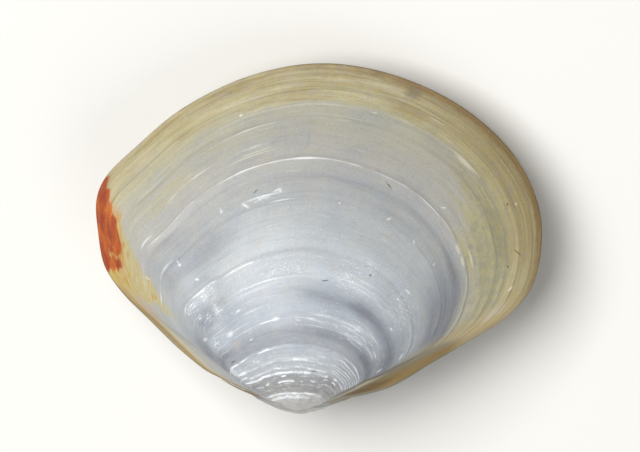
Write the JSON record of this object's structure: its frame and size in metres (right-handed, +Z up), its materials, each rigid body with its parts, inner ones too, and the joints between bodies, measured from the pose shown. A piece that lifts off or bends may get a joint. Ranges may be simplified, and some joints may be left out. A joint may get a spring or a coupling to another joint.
{
  "type": "tellin shell",
  "caption": "Closed tellin shell lying on its right valve: thin oval valves with growth ledges, a blunt rear end and a small outside ligament behind the beaks.",
  "frame": {"origin": "middle of the bottom of the bounding box, on the surface the shell lies on", "axes": "+X to the rounded front end (the blunt rear end is at -X), +Y from the beaks to the lower margin, +Z up, out of the left valve; the right valve is underneath"},
  "size_m": [0.0404, 0.0314, 0.018],
  "materials": {
    "left_valve_shell": "natural shell, satin to dull, straw skin near the rim",
    "right_valve_shell": "natural shell, satin to dull, straw skin near the rim",
    "ligament_horn": "dried dark brown horn, satin"
  },
  "bodies": {
    "root": {"left_valve": "left_valve_shell", "right_valve": "right_valve_shell", "ligament": "ligament_horn"}
  },
  "joints": []
}
